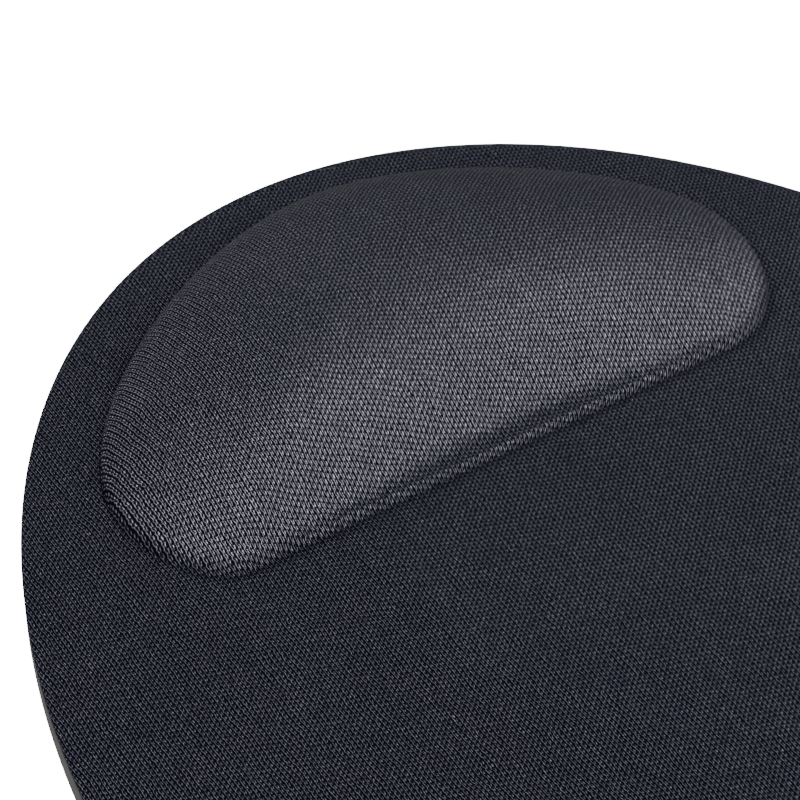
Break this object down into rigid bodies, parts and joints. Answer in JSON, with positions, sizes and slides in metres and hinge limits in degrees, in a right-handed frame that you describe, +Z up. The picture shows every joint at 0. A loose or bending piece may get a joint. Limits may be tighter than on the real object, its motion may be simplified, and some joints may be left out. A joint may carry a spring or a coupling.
{
  "type": "mouse mat with wrist rest",
  "caption": "Egg-shaped soft mouse mat with a raised D-shaped gel wrist rest under one black knit cover, on a thin non-slip rubber base.",
  "frame": {"origin": "on the desk, under the middle of the mat's bounding box", "axes": "+Z up from the desk, +Y from the wrist end to the mouse end, +X to the user's right"},
  "size_m": [0.211, 0.25, 0.0216],
  "materials": {
    "knit": "matt black weft knit with fine upright stitches",
    "film": "thin clear elastic film, semi-gloss",
    "gel": "soft translucent blue gel",
    "foam": "matt dark grey closed-cell foam",
    "adhesive_sheet": "dull pale adhesive sheet",
    "base_rubber": "smooth dark grey rubber edge, fine raised grip pattern below"
  },
  "bodies": {
    "root": {"rubber_base": "base_rubber", "base_adhesive": "adhesive_sheet", "foam_sheet": "foam", "gel_film": "film", "gel_core": "gel", "cover_film": "film", "knit_cover": "knit"}
  },
  "joints": []
}
